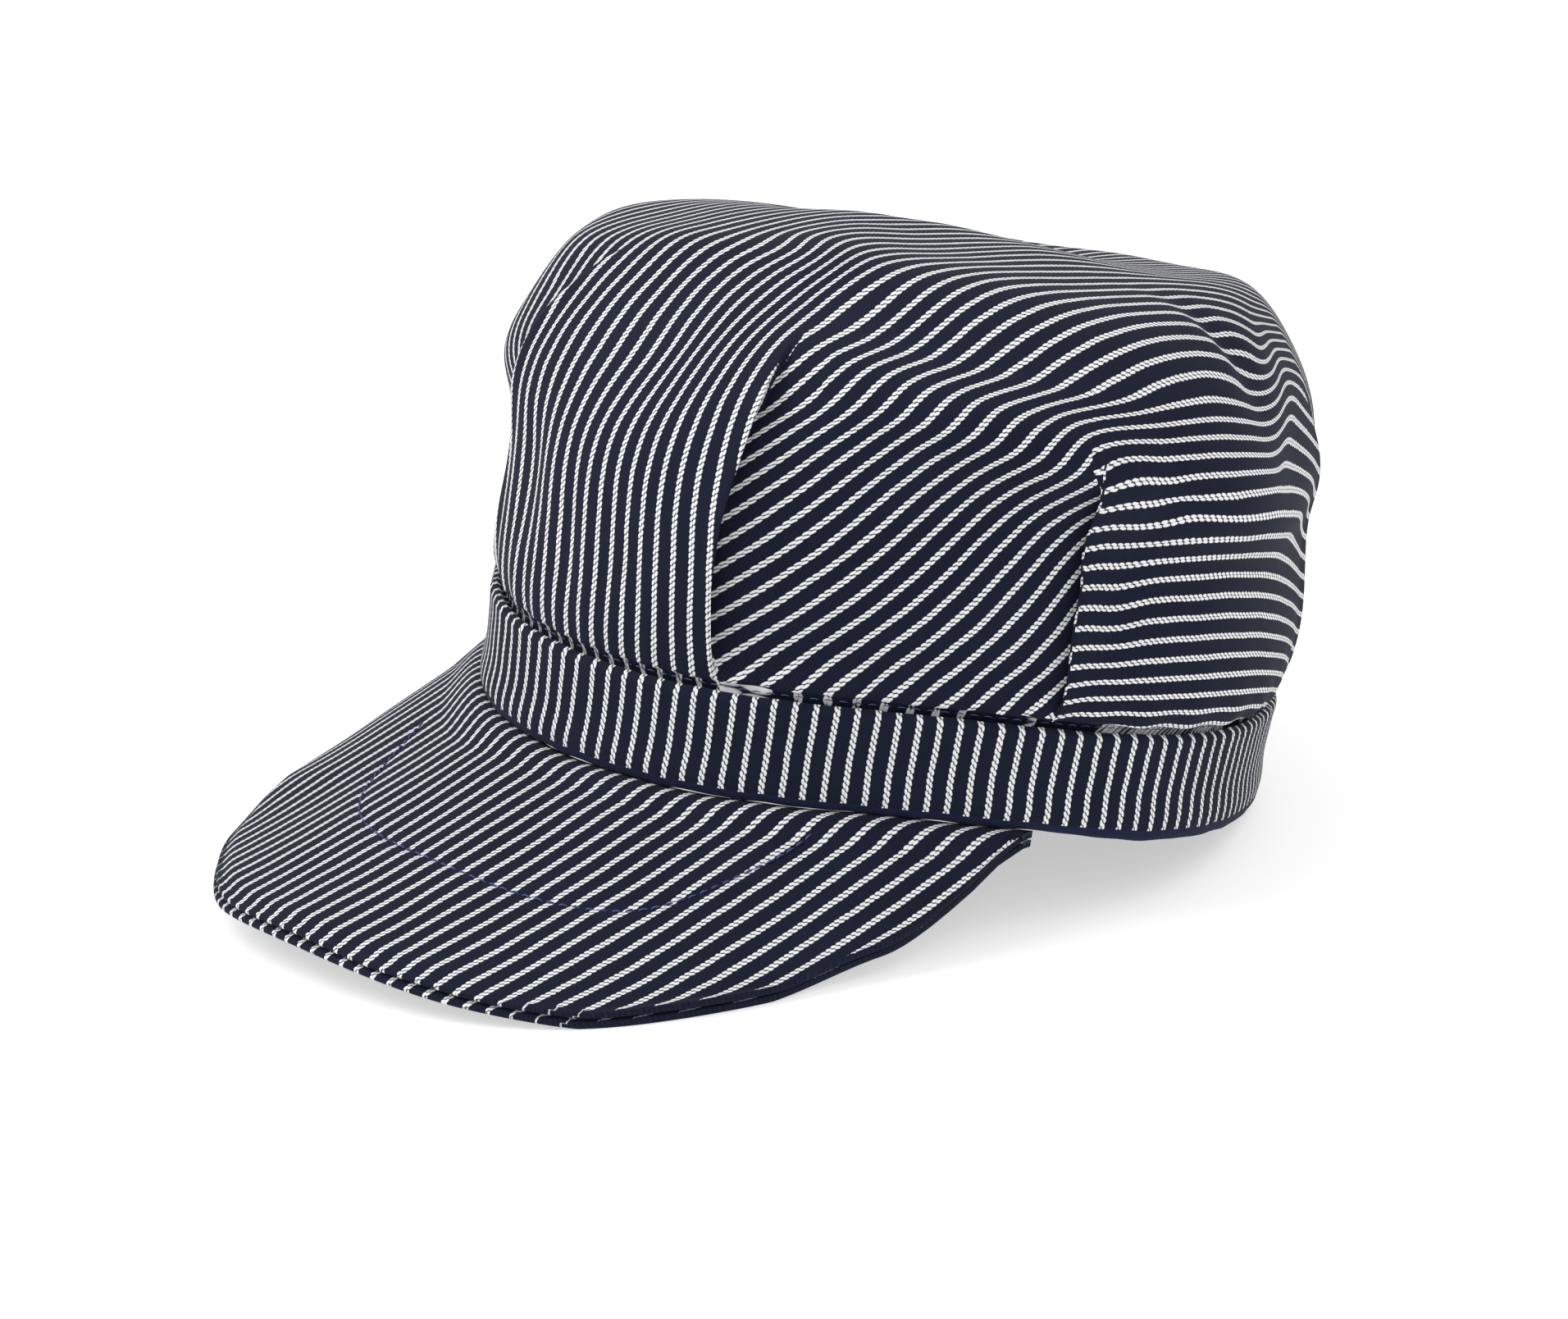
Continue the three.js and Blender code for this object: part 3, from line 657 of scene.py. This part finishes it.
def make_visor_layer(name, drop, grow, under, offset, grooved, material):
    """One cloth of the peak, drop millimetres below the upper face, with a rounded edge. grow widens its
    plan, under is the least height of its underside above the surface, and offset moves its stripes."""
    ns, nv, turn = 260, 64, 9
    s = np.linspace(-1, 1, ns + 1)
    s = np.sin(s * math.pi / 2) * 0.35 + s * 0.65
    half = VISOR_WALL / 2
    v = np.linspace(0, 1, nv) ** 0.92
    # on the wearer's left the edge of the lower cloth is set in, out of sight
    if drop:
        grow = grow - LOWER_SET_IN * smooth((s - 0.66) / 0.22)
    top, out = visor_point(s, v, grow - half)
    top = top - np.array((0, 0, drop))
    run = np.gradient(top[-1, :, :2], axis=0)
    facing = np.stack([run[:, 1], -run[:, 0]], 1) / np.linalg.norm(run, axis=1, keepdims=True)
    facing = facing * np.sign(np.sum(facing * out, axis=1, keepdims=True))
    at_side = smooth((np.abs(facing[:, 0]) - 0.5) / 0.3)
    turned_down = smooth((v - FRONT_TURN_FROM) / (1 - FRONT_TURN_FROM))[:, None] ** 2
    top[..., 2] -= EDGE_DROP * turned_down * (1 - smooth((s - 0.2) / 0.35))
    if grooved:
        top[..., 2] -= stitch_groove(top[..., 0], top[..., 1])
        top[..., 2] += 0.22 * np.sin(top[..., 0] * 0.16 + top[..., 1] * 0.05) * np.sin(top[..., 1] * 0.09)
    rows = [(p, under + VISOR_WALL) for p in top]
    edge = top[-1]
    for k in range(1, turn):
        angle = math.pi * k / turn
        p = edge.copy()
        p[:, :2] += out * half * math.sin(angle)
        p[:, 2] -= half * (1 - math.cos(angle))
        rows.append((p, under + half * (1 + math.cos(angle))))
    for p in top[::-1]:
        rows.append((p - np.array((0, 0, VISOR_WALL)), under))
    placed = []
    for p, lift in rows:
        q = at_rest(p)
        q[:, 2] = np.maximum(lift * MM, q[:, 2])
        placed.append(q)
    m, n = len(rows), ns + 1
    # cloth: across the stripes by the width along the arched peak, along them by the plan
    shape = np.stack([p for p, _ in rows])
    x = shape[..., 0]
    across = x * (1 + PEAK_ARCH * (x / ARCH_PLACE) ** 2) + offset
    along = shape[..., 1]
    # where the cloth turns down over the edge, it runs on past the plan of the peak
    steep = travelled(shape) - travelled(shape[..., :2])
    start, early = np.searchsorted(v, (FRONT_TURN_FROM, SIDE_TURN_FROM))
    at_front = np.maximum(0, steep - steep[start])
    at_front[:start] = 0
    beside = np.maximum(0, steep - steep[early])
    beside[:early] = 0
    extra = at_front * (1 - at_side) + beside * at_side
    across = across + facing[:, 0] * extra
    along = along + facing[:, 1] * extra
    # at the peak's sides the stripes stop at the edge and leave the turned cloth plain
    plain = between_stripes(across)
    turned = np.zeros((m, 1))
    turned[start:nv + turn, 0] = 1
    turned[:nv, 0] = smooth((v - 0.988) / 0.012)
    turned = turned * at_side
    across = across * (1 - turned) + plain * turned
    faces, uv = [], []
    for i in range(m):
        i2 = (i + 1) % m
        for j in range(n - 1):
            faces.append((i * n + j, i2 * n + j, i2 * n + j + 1, i * n + j + 1))
            round_face = ((i, j), (i2, j), (i2, j + 1), (i, j + 1))
            whole = all(turned[c] >= 1 for c in round_face)
            uv.append(tuple((across[i, j] if whole else across[c], along[c]) for c in round_face))
    for j, flip in ((0, True), (n - 1, False)):
        for i in range(m // 2):
            ring = (i * n + j, (m - 1 - i) * n + j, (m - 2 - i) * n + j, (i + 1) * n + j)
            if len(set(ring)) < 4 or m - 2 - i <= i + 1:
                if m - 2 - i == i + 1:
                    tri = (i * n + j, (m - 1 - i) * n + j, (i + 1) * n + j)
                    faces.append(tri[::-1] if flip else tri)
                    uv.append(PLAIN_FACE[:3])
                break
            faces.append(ring[::-1] if flip else ring)
            uv.append(PLAIN_FACE)
    return build(name, np.concatenate(placed), faces, material, uv)


# Stitches


def thread_run(name, path, normals, stitch, gap, radius, sink, material):
    """Separate stitches along a path: short capsules that dip into the cloth at both ends."""
    gone = travelled(path)
    points, faces = [], []
    sides, rings = 6, 7
    for k in range(int(gone[-1] / (stitch + gap))):
        at = k * (stitch + gap) + np.linspace(0, stitch, rings)
        centre = np.stack([np.interp(at, gone, path[:, i]) for i in range(3)], 1)
        up = np.stack([np.interp(at, gone, normals[:, i]) for i in range(3)], 1)
        up /= np.linalg.norm(up, axis=1, keepdims=True)
        way = np.gradient(centre, axis=0)
        way /= np.linalg.norm(way, axis=1, keepdims=True)
        side = np.cross(way, up)
        swell = np.sin(np.linspace(0.12, math.pi - 0.12, rings))
        first = len(points)
        for i in range(rings):
            thick = radius * (0.35 + 0.65 * swell[i] ** 0.5)
            middle = centre[i] + up[i] * (radius * 0.75 * swell[i] ** 0.7 - sink * (1 - swell[i]))
            for q in range(sides):
                b = 2 * math.pi * q / sides
                points.append(middle + thick * (side[i] * math.cos(b) + up[i] * math.sin(b)))
        for i in range(rings - 1):
            for q in range(sides):
                a, b = first + i * sides + q, first + i * sides + (q + 1) % sides
                faces.append((a, b, b + sides, a + sides))
        faces.append(tuple(first + q for q in reversed(range(sides))))
        faces.append(tuple(first + (rings - 1) * sides + q for q in range(sides)))
    return build(name, at_rest(np.array(points)), faces, material)


# Materials


def node(tree, kind, place, **settings):
    made = tree.nodes.new(kind)
    made.location = place
    for key, value in settings.items():
        setattr(made, key, value)
    return made


def math_node(tree, kind, a, b=None, clamp=False):
    made = tree.nodes.new("ShaderNodeMath")
    made.operation = kind
    made.use_clamp = clamp
    for socket, value in zip(made.inputs, (a, b)):
        if value is None:
            continue
        if isinstance(value, (int, float)):
            socket.default_value = value
        else:
            tree.links.new(value, socket)
    return made.outputs[0]


def mix_colour(tree, factor, a, b):
    made = tree.nodes.new("ShaderNodeMix")
    made.data_type = "RGBA"
    for socket, value in ((made.inputs[0], factor), (made.inputs[6], a), (made.inputs[7], b)):
        if isinstance(value, (int, float)):
            socket.default_value = value
        elif isinstance(value, tuple):
            socket.default_value = (*value, 1)
        else:
            tree.links.new(value, socket)
    return made.outputs[2]


def hickory_weave():
    """Striped twill from cloth coordinates in millimetres: colour, height and roughness."""
    tree = bpy.data.node_groups.new("hickory_weave", "ShaderNodeTree")
    face = tree.interface
    face.new_socket("Across", in_out="INPUT", socket_type="NodeSocketFloat")
    face.new_socket("Along", in_out="INPUT", socket_type="NodeSocketFloat")
    for name, value in (("Pitch", STRIPE_PITCH), ("Stripe Width", 1.4), ("Float Length", 1.45),
                        ("Twill Pitch", 0.62), ("Fleck", 0.5)):
        face.new_socket(name, in_out="INPUT", socket_type="NodeSocketFloat").default_value = value
    for name, value in (("Indigo", (0.0105, 0.014, 0.036)), ("Thread", (0.77, 0.77, 0.77))):
        face.new_socket(name, in_out="INPUT", socket_type="NodeSocketColor").default_value = (*value, 1)
    face.new_socket("Color", in_out="OUTPUT", socket_type="NodeSocketColor")
    face.new_socket("Height", in_out="OUTPUT", socket_type="NodeSocketFloat")
    face.new_socket("Roughness", in_out="OUTPUT", socket_type="NodeSocketFloat")
    into = tree.nodes.new("NodeGroupInput").outputs
    out = tree.nodes.new("NodeGroupOutput").inputs

    def m(*values, **settings):
        return math_node(tree, *values, **settings)

    where = tree.nodes.new("ShaderNodeCombineXYZ")
    tree.links.new(into["Across"], where.inputs[0])
    tree.links.new(into["Along"], where.inputs[1])
    spot = where.outputs[0]

    def noise(scale, detail=2.0):
        made = tree.nodes.new("ShaderNodeTexNoise")
        made.inputs["Scale"].default_value = scale
        made.inputs["Detail"].default_value = detail
        tree.links.new(spot, made.inputs["Vector"])
        return made.outputs[0]

    drift = m("MULTIPLY", m("SUBTRACT", noise(0.09, 1.0), 0.5), 0.55)
    jitter = m("MULTIPLY", m("SUBTRACT", noise(1.1, 1.0), 0.5), 0.32)
    across = m("ADD", m("ADD", into["Across"], drift), jitter)
    cell = m("DIVIDE", across, into["Pitch"])
    from_stripe = m("MULTIPLY", m("SUBTRACT", m("FRACT", m("ADD", cell, 0.5)), 0.5), into["Pitch"])
    half = m("DIVIDE", into["Stripe Width"], 2)

    # two rows of slanting floats, half a float apart
    def floats(side):
        centre = m("MULTIPLY", half, 0.5 * side)
        off = m("SUBTRACT", from_stripe, centre)
        slanted = m("ADD", into["Along"], m("MULTIPLY", off, -0.75))
        run = m("ADD", m("DIVIDE", slanted, into["Float Length"]), 0.25 * side)
        part = m("SUBTRACT", m("FRACT", run), 0.5)
        wide = m("DIVIDE", off, m("MULTIPLY", half, 0.6))
        long = m("DIVIDE", part, 0.5)
        round_it = m("ADD", m("MULTIPLY", wide, wide), m("MULTIPLY", long, long))
        return m("SUBTRACT", 1.0, round_it, clamp=True)

    left, right = floats(-1), floats(1)
    body = m("MAXIMUM", left, right)
    white = m("MULTIPLY", body, 2.6, clamp=True)

    # twill of the ground
    slope = m("ADD", m("MULTIPLY", into["Across"], 0.85), m("MULTIPLY", into["Along"], 0.5))
    rib = m("SINE", m("MULTIPLY", m("DIVIDE", slope, into["Twill Pitch"]), 2 * math.pi))
    picks = m("DIVIDE", into["Along"], m("MULTIPLY", into["Twill Pitch"], 0.8))
    pick = m("SINE", m("MULTIPLY", picks, 2 * math.pi))
    crossed = m("MULTIPLY", m("MULTIPLY", rib, pick), 0.18)
    twill = m("ADD", 0.5, m("ADD", m("MULTIPLY", rib, 0.42), crossed))
    uneven = noise(3.2, 3.0)
    patch = noise(0.045, 2.0)
    tone = m("ADD", m("MULTIPLY", twill, 0.55), m("MULTIPLY", uneven, 0.75))
    tone = m("ADD", tone, m("MULTIPLY", m("SUBTRACT", patch, 0.5), 0.5))
    lit = m("MULTIPLY", tone, 0.78, clamp=True)
    ground = mix_colour(tree, lit, (0.002, 0.0024, 0.006), into["Indigo"])
    speck = m("MULTIPLY", m("SUBTRACT", noise(2.3, 4.0), 0.62, clamp=True), 6.0)
    speck = m("MULTIPLY", speck, into["Fleck"], clamp=True)
    ground = mix_colour(tree, speck, ground, (0.05, 0.056, 0.14))

    # painted shade: the white threads are darker between their floats and towards their edges, where they
    # dip into the cloth; the noise adds random tone
    swell = m("MULTIPLY", m("MULTIPLY", body, 0.55), m("ADD", 0.6, m("MULTIPLY", uneven, 0.8)))
    shade = m("ADD", 0.62, swell, clamp=True)
    thread = mix_colour(tree, shade, (0.05, 0.05, 0.07), into["Thread"])
    tree.links.new(mix_colour(tree, white, ground, thread), out["Color"])
    between = m("MULTIPLY", m("MULTIPLY", twill, m("SUBTRACT", 1.0, white)), 0.35)
    raised = m("ADD", m("MULTIPLY", body, 0.9), between)
    tree.links.new(m("ADD", raised, m("MULTIPLY", uneven, 0.15)), out["Height"])
    tree.links.new(m("ADD", 0.78, m("MULTIPLY", uneven, 0.15)), out["Roughness"])
    return tree


WEAVE = hickory_weave()


def cloth_material(name, hem=None):
    """Denim that reads the piece's own cloth coordinates, with a plain hem from one place along it
    to another."""
    made = bpy.data.materials.new(name)
    made.use_nodes = True
    tree = made.node_tree
    shader = tree.nodes["Principled BSDF"]
    uv = node(tree, "ShaderNodeUVMap", (-1100, 0), uv_map="cloth")
    split = node(tree, "ShaderNodeSeparateXYZ", (-900, 0))
    tree.links.new(uv.outputs[0], split.inputs[0])
    weave = node(tree, "ShaderNodeGroup", (-600, 0), node_tree=WEAVE)
    tree.links.new(split.outputs[0], weave.inputs["Across"])
    tree.links.new(split.outputs[1], weave.inputs["Along"])
    colour = weave.outputs["Color"]
    if hem:
        after = math_node(tree, "GREATER_THAN", split.outputs[1], hem[0])
        before = math_node(tree, "LESS_THAN", split.outputs[1], hem[1])
        inside = math_node(tree, "MULTIPLY", after, before)
        colour = mix_colour(tree, inside, colour, (0.008, 0.012, 0.035))
    tree.links.new(colour, shader.inputs["Base Color"])
    tree.links.new(weave.outputs["Roughness"], shader.inputs["Roughness"])
    bump = node(tree, "ShaderNodeBump", (-250, -250))
    bump.inputs["Strength"].default_value = 0.55
    bump.inputs["Distance"].default_value = 0.25 * MM
    tree.links.new(weave.outputs["Height"], bump.inputs["Height"])
    tree.links.new(bump.outputs[0], shader.inputs["Normal"])
    shader.inputs["Specular IOR Level"].default_value = 0.12
    shader.inputs["Sheen Weight"].default_value = 0.02
    shader.inputs["Sheen Roughness"].default_value = 0.5
    return made


def thread_material():
    made = bpy.data.materials.new("indigo_thread")
    made.use_nodes = True
    tree = made.node_tree
    shader = tree.nodes["Principled BSDF"]
    place = node(tree, "ShaderNodeTexCoord", (-900, 0))
    twist = node(tree, "ShaderNodeTexNoise", (-700, 0))
    twist.inputs["Scale"].default_value = 3000
    tree.links.new(place.outputs["Object"], twist.inputs["Vector"])
    colour = mix_colour(tree, twist.outputs[0], (0.018, 0.024, 0.11), (0.05, 0.065, 0.24))
    tree.links.new(colour, shader.inputs["Base Color"])
    bump = node(tree, "ShaderNodeBump", (-300, -200))
    bump.inputs["Strength"].default_value = 0.4
    bump.inputs["Distance"].default_value = 0.1 * MM
    tree.links.new(twist.outputs[0], bump.inputs["Height"])
    tree.links.new(bump.outputs[0], shader.inputs["Normal"])
    shader.inputs["Roughness"].default_value = 0.55
    return made


# Pieces

crown = make_crown(cloth_material("crown_denim"))
band = make_band(cloth_material("band_denim", HEM))
peak = make_visor_layer("peak_upper", drop=0, grow=0, under=VISOR_PITCH, offset=0, grooved=True,
                        material=cloth_material("peak_denim"))
peak_under = make_visor_layer("peak_lower", drop=VISOR_PITCH, grow=0.4, under=0, offset=1.9, grooved=False,
                              material=cloth_material("peak_lower_denim"))

indigo = thread_material()
line = section_line(TOPSTITCH, 0.5)
lie = np.column_stack([line, visor_height(line[:, 0], line[:, 1]) - 0.3])
step = 0.5
x, y = line.T
tilt_x = (visor_height(x + step, y) - visor_height(x - step, y)) / (2 * step)
tilt_y = (visor_height(x, y + step) - visor_height(x, y - step)) / (2 * step)
upward = np.column_stack([-tilt_x, -tilt_y, np.ones(len(line))])
topstitch = thread_run("peak_topstitch", lie, upward, stitch=2.3, gap=0.7, radius=0.26, sink=0.3,
                       material=indigo)
ring = np.radians(np.linspace(0, 360, 1200))
seam = polar(band_radius(ring) - BAND_THICK * 0.5, ring, band_foot(ring) + BAND_HEIGHT + 1.0)
outward = polar(np.ones(len(ring)), ring, 1.0)
joint_stitch = thread_run("crown_joint_stitch", seam, outward, stitch=2.0, gap=1.3, radius=0.15, sink=0.25,
                          material=indigo)

for piece, part in ((crown, "crown"), (band, "band"), (peak, "visor_top"), (peak_under, "visor_under")):
    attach(piece, "root")
    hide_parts(part)
for piece in (topstitch, joint_stitch):
    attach(piece, "root")

# Floor, light and camera

bpy.ops.object.select_all(action="DESELECT")
bpy.ops.mesh.primitive_plane_add(size=6, location=(0, 0, 0))
floor = bpy.context.object
floor.name = "floor"
paper = bpy.data.materials.new("floor_paper")
paper.use_nodes = True
shader = paper.node_tree.nodes["Principled BSDF"]
shader.inputs["Base Color"].default_value = (0.6, 0.6, 0.6, 1)
shader.inputs["Roughness"].default_value = 0.7
shader.inputs["Emission Color"].default_value = (1, 1, 1, 1)
shader.inputs["Emission Strength"].default_value = 0.5
floor.data.materials.append(paper)

world = bpy.data.worlds.new("studio")
bpy.context.scene.world = world
world.use_nodes = True
sky = world.node_tree.nodes["Background"]
sky.inputs["Color"].default_value = (1, 1, 1, 1)
sky.inputs["Strength"].default_value = 0.85


def soft_light(name, place, aim, size, power):
    data = bpy.data.lights.new(name, "AREA")
    data.size = size
    data.energy = power
    lamp = bpy.data.objects.new(name, data)
    bpy.context.collection.objects.link(lamp)
    lamp.location = place
    way = Vector(aim) - lamp.location
    lamp.rotation_euler = way.to_track_quat("-Z", "Y").to_euler()


soft_light("key", (-1.0, -1.0, 1.3), (0, 0, 0.06), 1.3, 22)
soft_light("fill", (1.6, -0.9, 0.9), (0, 0, 0.06), 1.4, 6)
soft_light("back", (0.4, 1.5, 1.4), (0, 0, 0.06), 1.4, 8)

# Camera: how the photograph looks at the cap in the cap's own frame, degrees and millimetres
CAMERA_AZIMUTH = 43.11
CAMERA_ELEVATION = 12.62
CAMERA_ROLL = 9.26
CAMERA_DISTANCE = 1694.9
CAMERA_ASIDE = (10.807, -16.604)
FOCAL_PIXELS = 5.152 * CAMERA_DISTANCE
PHOTO_WIDTH = 1912

az, el, roll = (math.radians(x) for x in (CAMERA_AZIMUTH, CAMERA_ELEVATION, CAMERA_ROLL))
back = np.array((math.sin(az) * math.cos(el), -math.cos(az) * math.cos(el), math.sin(el)))
right = np.cross(-back, (0, 0, 1))
right /= np.linalg.norm(right)
up = np.cross(right, -back)
right_turned = math.cos(roll) * right + math.sin(roll) * up
up_turned = -math.sin(roll) * right + math.cos(roll) * up
eye = CAMERA_DISTANCE * back - CAMERA_ASIDE[0] * right_turned - CAMERA_ASIDE[1] * up_turned
lens = bpy.data.cameras.new("camera")
lens.sensor_width = 36
lens.lens = FOCAL_PIXELS / PHOTO_WIDTH * lens.sensor_width
lens.clip_start = 0.05
lens.clip_end = 30
camera = bpy.data.objects.new("camera", lens)
bpy.context.collection.objects.link(camera)
origin = at_rest(np.zeros((1, 3)))[0]
axes = [(at_rest(v[None])[0] - origin) / MM for v in (right_turned, up_turned, back)]
place = Matrix([[axes[c][r] for c in range(3)] for r in range(3)]).to_4x4()
place.translation = at_rest(eye[None])[0]
camera.matrix_world = place
bpy.context.scene.camera = camera
bpy.context.scene.view_settings.view_transform = "Standard"
